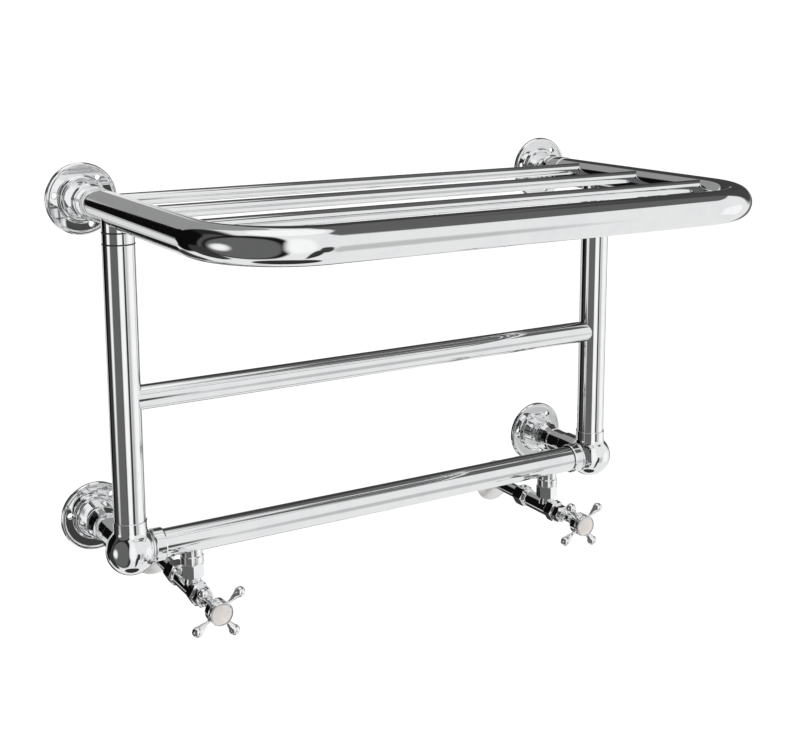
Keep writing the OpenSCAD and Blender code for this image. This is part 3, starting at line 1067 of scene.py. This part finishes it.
@dataclass
class WallBrackets(SubAssembly):
    """Four wall flanges with their cups, and the stems of the lower two."""

    holes: int = 3
    first_hole: float = 50.0
    hole_circle_r: float = 28.0
    hole_r: float = 3.0
    sink_r: float = 4.4
    neck_r: float = 14.0
    mouth_wall: float = 0.9

    def build(self) -> None:
        """Makes each bracket once for its height and copies it across."""
        for level in ("upper", "lower"):
            flange = self.flange(level)
            cup = self.cup(level)
            for made, kind in ((flange, "flange"), (cup, "cup")):
                node = f"{kind}_{level}_"
                span = Extent.of(node + "left").mid.x - Extent.of(node + "right").mid.x
                twin = Bench.copy(made, made.name.replace("right", "left"), (span, 0, 0))
                self.keep(made, [node + "right"], CHROME, "chrome")
                self.keep(twin, [node + "left"], CHROME, "chrome")
        for side in SIDES:
            self.stem(side)

    def flange(self, level: str) -> bpy.types.Object:
        """Makes a round plate: rolled rim, dished face, raised bead and screw holes.

        Args:
            level: upper or lower.

        Returns:
            The right-hand plate.
        """
        node = Extent.of(f"flange_{level}_right")
        r, top = node.size.x / 2, -node.lo.y
        plate = Bench.turned(f"wall_flange_{level}_right", [
            Knee(0, 0), Knee(r - 0.4, 0, 0.3), Knee(r, 0.6, 0.4), Knee(r, 3.2, 1.3),
            Knee(r - 1.3, 4.9, 1.1), Knee(r - 3.4, 4.9, 0.9), Knee(r - 4.3, 3.6, 0.6),
            Knee(r - 12.5, 3.5, 0.6), Knee(r - 13.0, 6.0, 0.9), Knee(r - 14.4, top, 1.1),
            Knee(r - 16.4, top, 1.1), Knee(r - 17.8, top - 1.6, 0.9), Knee(r - 18.7, top - 3.4, 0.9),
            Knee(10.0, top - 3.6), Knee(0, top - 3.6),
        ])
        below, above = -2.0, 9.0
        for turn in range(self.holes):
            angle = math.radians(self.first_hole + 360 / self.holes * turn)
            across, up = self.hole_circle_r * math.cos(angle), self.hole_circle_r * math.sin(angle)
            hole = Bench.turned("hole", [
                Knee(0, below), Knee(self.hole_r, below), Knee(self.hole_r, 2.9, 0.4),
                Knee(self.sink_r, 4.6), Knee(self.sink_r, above), Knee(0, above)],
                (across, up, 0), steps=40)
            Bench.combine(plate, hole, "DIFFERENCE")
        Bench.smooth(plate)
        Bench.settle(plate, (node.mid.x, 0, node.mid.z), Way.OUT)
        return plate

    def cup(self, level: str) -> bpy.types.Object:
        """Makes the bell between flange and tube: neck, rolled lip and tapering mouth.

        Args:
            level: upper or lower.

        Returns:
            The right-hand bell.
        """
        node = Extent.of(f"cup_{level}_right")
        tube = Extent.of("shelf_tube" if level == "upper" else "bracket_stem_right")
        tube_r = tube.size.z / 2
        lip, front = node.size.z / 2, -node.lo.y
        mouth = tube_r + self.mouth_wall
        waist = lip - 1.0 - (lip - mouth) * 0.5
        floor = front - 3.0
        return Bench.turned(f"bracket_cup_{level}_right", [
            Knee(0, 2.0), Knee(self.neck_r, 2.0), Knee(self.neck_r, 21.0, 3.0),
            Knee(lip - 1.6, 25.3, 1.2), Knee(lip, 26.4, 1.0), Knee(lip, 28.6, 1.0),
            Knee(lip - 1.2, 29.6, 0.7), Knee(waist, 35.0, 6.0), Knee(mouth, front - 4.5, 6.0),
            Knee(mouth, front, 0.5), Knee(tube_r, front, 0.2), Knee(tube_r, floor), Knee(0, floor),
        ], (node.mid.x, 0, node.mid.z), Way.OUT)

    def stem(self, side: str) -> None:
        """Makes the stem between a lower cup and its ball joint.

        Args:
            side: left or right.
        """
        node = Extent.of(f"bracket_stem_{side}")
        r, back, front = node.size.x / 2, -node.hi.y, -node.lo.y
        tube = Bench.turned(
            f"stem_tube_{side}", [Knee(0, back), Knee(r, back, 0.4), Knee(r, front, 0.4), Knee(0, front)],
            (node.mid.x, 0, node.mid.z), Way.OUT)
        self.keep(tube, [f"bracket_stem_{side}"], CHROME, "chrome")


@dataclass
class Valve(SubAssembly):
    """One crosshead valve, from the pipe in the wall to the ceramic disc on its handle."""

    side: str
    union_turn: float = -15.0
    tail_root: float = 8.0
    bush_r: float = 7.4
    bush_mouth_r: float = 3.4
    bush_long: float = 4.0
    riser_r: float = 8.0
    riser_foot_r: float = 9.2
    pipe_end_r: float = 7.5
    pipe_bore_r: float = 6.8
    cover_gap: float = 0.3
    rod_r: float = 3.0
    groove_r: float = 2.7
    nose_r: float = 2.1
    hub_r: float = 12.5
    hub_bore_r: float = 3.05
    bezel_bore_r: float = 11.15
    arms: int = 4
    arm_angle: float = 35.0
    arm_reach: float = 28.0
    arm_ball_r: float = 5.6
    arm_ball_from: float = -42.0
    arm_ball_to: float = 88.0
    arm_ball_steps: int = 18
    arm_set_back: float = 8.5

    def build(self) -> None:
        """Makes the fixed pieces and then those that turn."""
        pipe = Extent.of(f"supply_pipe_{self.side}")
        rail = Extent.of("lower_rail")
        self.at_wall = Vector((pipe.mid.x, 0, pipe.mid.z))
        self.axis = Vector((pipe.mid.x, rail.mid.y, pipe.mid.z))
        self.under = Vector((pipe.mid.x, rail.mid.y, rail.mid.z))
        self.tail()
        self.nuts()
        self.chest()
        self.pipe()
        self.cover()
        self.spindle()
        self.handle()
        self.disc()

    def out(self, y: float) -> float:
        """How far a y place lies in front of the uprights' plane."""
        return self.axis.y - y

    def put(
        self, piece: bpy.types.Object, node: str, finish: Finish = CHROME, slot: str = "chrome",
        turning: bool = False,
    ) -> None:
        """Keeps a piece for this side's node of that name."""
        body = f"handle_{self.side}" if turning else "rail"
        self.keep(piece, [f"{node}_{self.side}"], finish, slot, body)

    def tail(self) -> None:
        """The stub under the rail, with a turned shoulder over the union nut."""
        node = Extent.of(f"valve_tail_{self.side}")
        r = node.size.x / 2
        nut = Extent.of(f"union_nut_{self.side}")
        low = self.under.z - nut.hi.z
        neck_r, shoulder, end = r - 1.0, low - 8.0, low - 0.2
        made = Bench.turned(f"tail_{self.side}", [
            Knee(0, self.tail_root), Knee(neck_r, self.tail_root), Knee(neck_r, shoulder - 1.0, 0.5),
            Knee(r, shoulder, 0.5), Knee(r, end, 0.6), Knee(0, end)], self.under, Way.DOWN, steps=64)
        self.put(made, "valve_tail")

    def nuts(self) -> None:
        """Union nut, inlet nut, and a gland nut with its bush, each a softened hexagon."""
        union = Extent.of(f"union_nut_{self.side}")
        inlet = Extent.of(f"inlet_nut_{self.side}")
        gland = Extent.of(f"gland_nut_{self.side}")
        flats = inlet.size.z
        made = Bench.hexagon(
            f"union_hexagon_{self.side}", flats, self.under.z - union.hi.z, self.under.z - union.lo.z,
            self.under, Way.DOWN, self.union_turn)
        self.put(made, "union_nut")
        made = Bench.hexagon(
            f"inlet_hexagon_{self.side}", flats, self.out(inlet.hi.y), self.out(inlet.lo.y),
            self.axis, Way.OUT)
        self.put(made, "inlet_nut")
        back, front = self.out(gland.hi.y), self.out(gland.lo.y)
        name = f"gland_hexagon_{self.side}"
        made = Bench.hexagon(name, gland.size.z, back, front - self.bush_long, self.axis, Way.OUT)
        bush = Bench.turned("bush", [
            Knee(0, back + 2), Knee(self.bush_r, back + 2), Knee(self.bush_r, front - 0.4, 1.0),
            Knee(self.bush_mouth_r, front, 0.3), Knee(self.bush_mouth_r, front - 2.0),
            Knee(0, front - 2.0)],
            self.axis, Way.OUT, steps=48)
        self.put(Bench.join([made, bush], name), "gland_nut")

    def chest(self) -> None:
        """The valve's body, its riser to the union nut, and the hexagonal bonnet."""
        node = Extent.of(f"valve_body_{self.side}")
        inlet = Extent.of(f"inlet_nut_{self.side}")
        union = Extent.of(f"union_nut_{self.side}")
        gland = Extent.of(f"gland_nut_{self.side}")
        r = node.size.x / 2
        back, front = self.out(inlet.lo.y), self.out(node.lo.y)
        neck_r, lip_r = r - 1.6, r - 0.5
        body = Bench.turned("body", [
            Knee(0, back + 0.1), Knee(neck_r, back + 0.1), Knee(neck_r, back + 2.4, 0.8),
            Knee(r, back + 7.0, 5.0), Knee(r, 0), Knee(r, front - 1.6, 0.6),
            Knee(lip_r, front - 0.9, 0.4), Knee(lip_r, front, 0.3), Knee(0, front)],
            self.axis, Way.OUT, steps=72)
        foot = self.under.z - union.lo.z
        root = foot + 12.0
        riser = Bench.turned("riser", [
            Knee(0, foot - 1.0), Knee(self.riser_r, foot - 1.0), Knee(self.riser_r, foot + 1.5, 2.0),
            Knee(self.riser_foot_r, foot + 6.0, 2.0), Knee(self.riser_foot_r, root), Knee(0, root)],
            self.under, Way.DOWN, steps=64)
        Bench.combine(body, riser, "UNION")
        Bench.smooth(body)
        body.name = body.data.name = f"valve_chest_{self.side}"
        self.put(body, "valve_body")
        made = Bench.hexagon(
            f"bonnet_hexagon_{self.side}", inlet.size.z, front + 0.05, self.out(gland.hi.y),
            self.axis, Way.OUT)
        self.put(made, "bonnet")

    def pipe(self) -> None:
        """The chrome pipe from wall to valve, turned down behind the wall."""
        node = Extent.of(f"supply_pipe_{self.side}")
        r, back, front = node.size.x / 2, -node.hi.y, -node.lo.y
        tube = Bench.turned(f"pipe_{self.side}", [
            Knee(self.pipe_bore_r, back), Knee(self.pipe_end_r, back, 0.3), Knee(self.pipe_end_r, 0, 0.1),
            Knee(r, 0, 0.3), Knee(r, front, 0.3), Knee(self.pipe_bore_r, front)],
            self.at_wall, Way.OUT, closed=True, steps=64)
        self.put(tube, "supply_pipe")

    def cover(self) -> None:
        """The shallow dome that covers the pipe's hole in the wall."""
        node = Extent.of(f"pipe_cover_{self.side}")
        rim, high = node.size.x / 2, -node.lo.y
        bore = Extent.of(f"supply_pipe_{self.side}").size.x / 2 + self.cover_gap
        slope, crown = high * 0.55, high * 0.86
        dome = [
            Knee(rim - 1.0, 0), Knee(rim, 0, 0.3), Knee(rim, 1.0, 0.5), Knee(rim - 2.2, 2.0, 2.0),
            Knee(rim * 0.72, slope, 9.0), Knee(rim * 0.48, crown, 6.0), Knee(bore + 1.4, high, 0.6),
            Knee(bore, high, 0.3), Knee(bore, high - 1.3), Knee(rim * 0.48, crown - 1.2, 5.0),
            Knee(rim * 0.70, slope - 1.1, 7.0), Knee(rim - 2.6, 0.9, 1.0),
        ]
        made = Bench.turned(f"cover_dome_{self.side}", dome, self.at_wall, Way.OUT, closed=True)
        self.put(made, "pipe_cover", SATIN, "satin")

    def spindle(self) -> None:
        """The spindle between the gland nut and the handle."""
        node = Extent.of(f"spindle_{self.side}")
        gland = Extent.of(f"gland_nut_{self.side}")
        back, front = self.out(gland.hi.y) + 1.0, self.out(node.lo.y)
        mouth = self.out(gland.lo.y)
        made = Bench.turned(f"spindle_rod_{self.side}", [
            Knee(0, back), Knee(self.rod_r, back), Knee(self.rod_r, mouth + 1.2),
            Knee(self.groove_r, mouth + 1.6, 0.2), Knee(self.groove_r, mouth + 2.4, 0.2),
            Knee(self.rod_r, mouth + 2.8, 0.2), Knee(self.rod_r, front - 4),
            Knee(self.nose_r, front - 3.9), Knee(self.nose_r, front), Knee(0, front)],
            self.axis, Way.OUT, steps=40)
        self.put(made, "spindle", turning=True)

    def handle(self) -> None:
        """Hub with a bezel, and arms that swell into balls."""
        node = Extent.of(f"cross_handle_{self.side}")
        back, front = self.out(node.hi.y), self.out(node.lo.y)
        hub_r, bore, bezel = self.hub_r, self.hub_bore_r, self.bezel_bore_r
        hub = Bench.turned("hub", [
            Knee(bore, back), Knee(5.0, back, 0.4), Knee(5.5, back + 1.4, 0.6),
            Knee(4.9, back + 3.2, 0.8), Knee(5.0, back + 8.0, 4.0), Knee(6.4, back + 13.0, 6.0),
            Knee(hub_r - 1.6, back + 19.0, 3.0), Knee(hub_r, back + 22.0, 1.5),
            Knee(hub_r, front - 6.2, 0.8), Knee(hub_r - 0.7, front - 5.0, 0.5),
            Knee(hub_r - 0.7, front - 4.2, 0.4), Knee(hub_r, front - 3.4, 0.6),
            Knee(hub_r, front - 1.0, 0.7), Knee(hub_r - 0.7, front, 0.4),
            Knee(bezel, front - 0.1, 0.3), Knee(bezel, front - 2.0), Knee(bore, front - 2.0)],
            self.axis, Way.OUT, closed=True, steps=72)
        at = self.axis + Vector((0, -(front - self.arm_set_back), 0))
        arms = [self.arm(self.arm_angle + 360 / self.arms * turn, at) for turn in range(self.arms)]
        self.put(Bench.join([hub] + arms, f"cross_{self.side}"), "cross_handle", turning=True)

    def arm(self, angle: float, at: Vector) -> bpy.types.Object:
        """Makes one arm of the handle.

        Args:
            angle: degrees up from the right.
            at: where the arms' axes meet.

        Returns:
            The arm.
        """
        root, reach, ball = self.hub_r - 1.0, self.arm_reach, self.arm_ball_r
        neck = [
            Knee(0, root), Knee(2.5, root, 0.2), Knee(1.7, root + 2.0, 1.5), Knee(1.9, root + 4.4, 3.0),
            Knee(3.2, root + 8.4, 6.0)]
        round_part = arc(0, reach, ball, self.arm_ball_from, self.arm_ball_to, self.arm_ball_steps)
        arm = Bench.turned("arm", neck + round_part + [Knee(0, reach + ball)], steps=40)
        Bench.settle(arm, (0, 0, 0), Way.RIGHT)
        arm.rotation_mode = "XYZ"
        arm.rotation_euler = (0, math.radians(-angle), 0)
        arm.location = at * MM
        Bench.only(arm)
        bpy.ops.object.transform_apply(location=True, rotation=True, scale=True)
        return arm

    def disc(self) -> None:
        """The glazed disc in the hub's bezel, slightly domed."""
        node = Extent.of(f"handle_disc_{self.side}")
        r, back, front = node.size.x / 2, self.out(node.hi.y), self.out(node.lo.y)
        edge = r - 0.15
        made = Bench.turned(f"ceramic_disc_{self.side}", [
            Knee(0, back), Knee(edge, back), Knee(edge, front - 1.1, 0.6),
            Knee(r - 1.6, front - 0.4, 1.2), Knee(r * 0.45, front - 0.05, 6.0), Knee(0, front)],
            self.axis, Way.OUT, steps=72)
        self.put(made, "handle_disc", CERAMIC, "ceramic", turning=True)


@dataclass
class AirBleed(SubAssembly):
    """The small air bleed on the outside of the right arm."""

    long: float = 8.4
    bore_r: float = 2.6
    bore_floor: float = 6.0

    def build(self) -> None:
        """Makes its body; the key-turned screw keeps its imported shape."""
        node = Extent.of("bleed_body")
        r = node.size.z / 2
        groove_r = r - 0.8
        body = Bench.turned("bleed_boss", [
            Knee(0, 0), Knee(r, 0), Knee(r, 2.6, 0.3), Knee(groove_r, 3.4, 0.3),
            Knee(groove_r, 4.2, 0.3), Knee(r, 5.0, 0.3), Knee(r, 7.9, 0.5),
            Knee(r - 0.6, self.long, 0.3), Knee(self.bore_r, self.long, 0.2),
            Knee(self.bore_r, self.bore_floor), Knee(0, self.bore_floor)],
            (node.hi.x - self.long, node.mid.y, node.mid.z), Way.RIGHT, steps=48)
        self.keep(body, ["bleed_body"], CHROME, "chrome")


class HiddenFittings:
    """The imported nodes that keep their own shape: seals, washers, plugs and screws."""

    # The sleeve seals are black rings whose rims show at the sleeve ends. Besides sealing, they serve as
    # painted shade for the dark gap lines there.
    FINISHES = {
        "sleeve_seals": RUBBER, "spindle_seals": RUBBER, "union_washers": FIBRE,
        "inlet_olives": BRASS, "arm_plug_left": BRASS, "arm_plug_right": BRASS,
        "valve_plug_left": BRASS, "valve_plug_right": BRASS, "handle_screw_left": BRASS,
        "handle_screw_right": BRASS, "bleed_screw": BRASS,
    }

    def build(self) -> None:
        """Dresses each of them."""
        for name, finish in self.FINISHES.items():
            finish.dress(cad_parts[name])
            LOG.info("%s keeps its packed shape", name)


@dataclass(frozen=True)
class Card:
    """A soft-edged card of even brightness round the studio.

    Heading is degrees from the wall's direction towards the right, and height is degrees of rise. A square
    of 2 makes an ellipse, and a larger one makes a box with rounder or sharper corners.
    """

    level: float
    heading: float
    height: float
    half_width: float
    half_height: float
    square: float = 4.0
    soft: float = 0.35

    def over(self, light: Union[Val, float], heading: Val, height: Val) -> Val:
        """Lays this card over the studio's light.

        Args:
            light: the light without it.
            heading: the heading of what is lit.
            height: the height of what is lit.

        Returns:
            The light with the card.
        """
        off = heading.graph.maths("WRAP", heading - self.heading, 180.0, -180.0)
        across = (off * (1 / self.half_width)).size() ** self.square
        upward = ((height - self.height) * (1 / self.half_height)).size() ** self.square
        mask = (across + upward).ramp(1 + self.soft, 1 - self.soft)
        return mask * self.level + (1 - mask) * light


# Laid in this order, so that a later card lies over an earlier one
CARDS = (
    Card(0.02, -62, 12, 46, 44, 3.0, 0.3),
    Card(0.08, -74, 16, 24, 30, 3.0, 0.4),
    Card(0.01, -113, 0, 46, 64, 3.0, 0.2),
    Card(0.13, -111, -4, 39, 54, 2.6, 0.2),
    Card(0.004, -41, 2, 20, 32),
    Card(0.04, -58, -34, 15, 24),
    Card(1.0, -88, -6, 11, 15, 2.0, 0.9),
    Card(0.46, -2, -8, 20, 11, 4.0, 0.5),
    Card(0.75, -17, -12, 7, 5, 3.0, 0.6),
    Card(0.05, 44, 28, 26, 27, 4.0, 0.4),
    Card(0.30, -3, 38, 21, 26, 6.0, 0.3),
    Card(0.004, -27, 8, 11, 12, 4.0, 0.2),
    Card(0.04, 6, -35, 30, 12, 4.0, 0.5),
    Card(0.01, -3, -21.5, 11, 2.5, 4.0, 0.6),
    Card(0.12, 88, 51, 50, 14, 4.0, 0.35),
    Card(0.06, 70, 24, 15, 28, 3.0, 0.6),
    Card(0.14, 60, -12, 10, 14, 2.0, 0.6),
    Card(1.0, 113, -12, 18, 16, 3.0, 0.5),
    Card(0.55, 149, -19, 9, 14, 2.0, 0.8),
    Card(0.05, 166, -18, 7, 14, 3.0, 0.5),
    Card(0.04, 173, -42, 7, 24, 2.0, 0.4),
    Card(1.0, -168, 8, 15, 40, 3.0, 0.9),
    Card(0.03, 0, -88, 200, 16, 8.0, 0.5),
    Card(1.0, 0, 89, 200, 20, 8.0, 0.3),
)


@dataclass
class Studio:
    """Camera, pale floor and soft light."""

    place: tuple[float, float, float] = (-0.7041, -1.3506, 0.3459)
    yaw: float = 31.479
    pitch: float = 10.377
    lens: float = 60.47
    shift: tuple[float, float] = (-0.0317, -0.12)
    sensor: float = 36.0
    floor_z: float = -0.62
    floor_width: float = 30.0
    floor_dark: tuple[float, float, float] = (0.93, 0.93, 0.93)
    floor_light: tuple[float, float, float] = (0.96, 0.96, 0.96)
    floor_glow: float = 0.65
    base_light: float = 0.85

    def build(self) -> None:
        """Sets up the whole studio."""
        self.camera()
        self.floor()
        self.sky()

    def camera(self) -> None:
        """The camera, in front of the rail, to its left and above it, tipped down a little."""
        data = bpy.data.cameras.new("camera")
        data.lens, data.sensor_width = self.lens, self.sensor
        data.shift_x, data.shift_y = self.shift
        data.clip_start, data.clip_end = 0.01, 50.0
        camera = bpy.data.objects.new("camera", data)
        camera.location = self.place
        camera.rotation_euler = (math.radians(90 - self.pitch), 0, math.radians(-self.yaw))
        bpy.context.scene.collection.objects.link(camera)
        bpy.context.scene.camera = camera

    def floor(self) -> None:
        """A wide pale floor well under the rail."""
        Bench.clear()
        bpy.ops.mesh.primitive_plane_add(size=self.floor_width, location=(0, 0, self.floor_z))
        floor = bpy.context.object
        floor.name = floor.data.name = "floor"
        material = bpy.data.materials.new("pale_floor")
        material.use_nodes = True
        graph = Graph(material.node_tree)
        cloud = graph.noise(1.5, 3.0)
        shader = graph.node("ShaderNodeBsdfPrincipled", {}, {
            "Base Color": graph.blend(cloud, self.floor_dark, self.floor_light),
            "Roughness": cloud * 0.1 + 0.8,
            "Emission Color": (1.0, 1.0, 1.0, 1.0),
            "Emission Strength": self.floor_glow,
        })
        graph.node("ShaderNodeOutputMaterial", {}, {"Surface": shader.outputs[0]})
        floor.data.materials.append(material)
        floor.visible_glossy = False

    def sky(self) -> None:
        """A bright studio hung with dark and pale cards; the camera itself sees plain white."""
        world = bpy.data.worlds.new("studio")
        bpy.context.scene.world = world
        world.use_nodes = True
        graph = Graph(world.node_tree)
        way = graph.node("ShaderNodeTexCoord").outputs["Generated"]
        parts = graph.node("ShaderNodeSeparateXYZ", {}, {"Vector": way})
        x, y, z = (Val(graph, s) for s in parts.outputs)
        heading = graph.maths("ARCTAN2", x, y) * (180 / math.pi)
        height = graph.maths("ARCSINE", z) * (180 / math.pi)
        light: Union[Val, float] = self.base_light
        for card in CARDS:
            light = card.over(light, heading, height)
        cards = graph.node("ShaderNodeBackground", {}, {"Color": (1, 1, 1, 1), "Strength": light})
        plain = graph.node("ShaderNodeBackground", {}, {"Color": (1, 1, 1, 1), "Strength": 1.0})
        seen = graph.node("ShaderNodeLightPath").outputs["Is Camera Ray"]
        sides = {0: seen, 1: cards.outputs[0], 2: plain.outputs[0]}
        mixed = graph.node("ShaderNodeMixShader", {}, sides)
        graph.node("ShaderNodeOutputWorld", {}, {"Surface": mixed.outputs[0]})
        bpy.context.scene.view_settings.view_transform = "Standard"


def main() -> None:
    """Builds the rail, dresses it and sets up the studio."""
    logging.basicConfig(level=logging.INFO, format="%(name)s: %(message)s")
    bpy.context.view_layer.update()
    Shelf().build()
    Rails().build()
    WallBrackets().build()
    for side in SIDES:
        Valve(side).build()
    AirBleed().build()
    HiddenFittings().build()
    Studio().build()


if __name__ == "__main__":
    main()
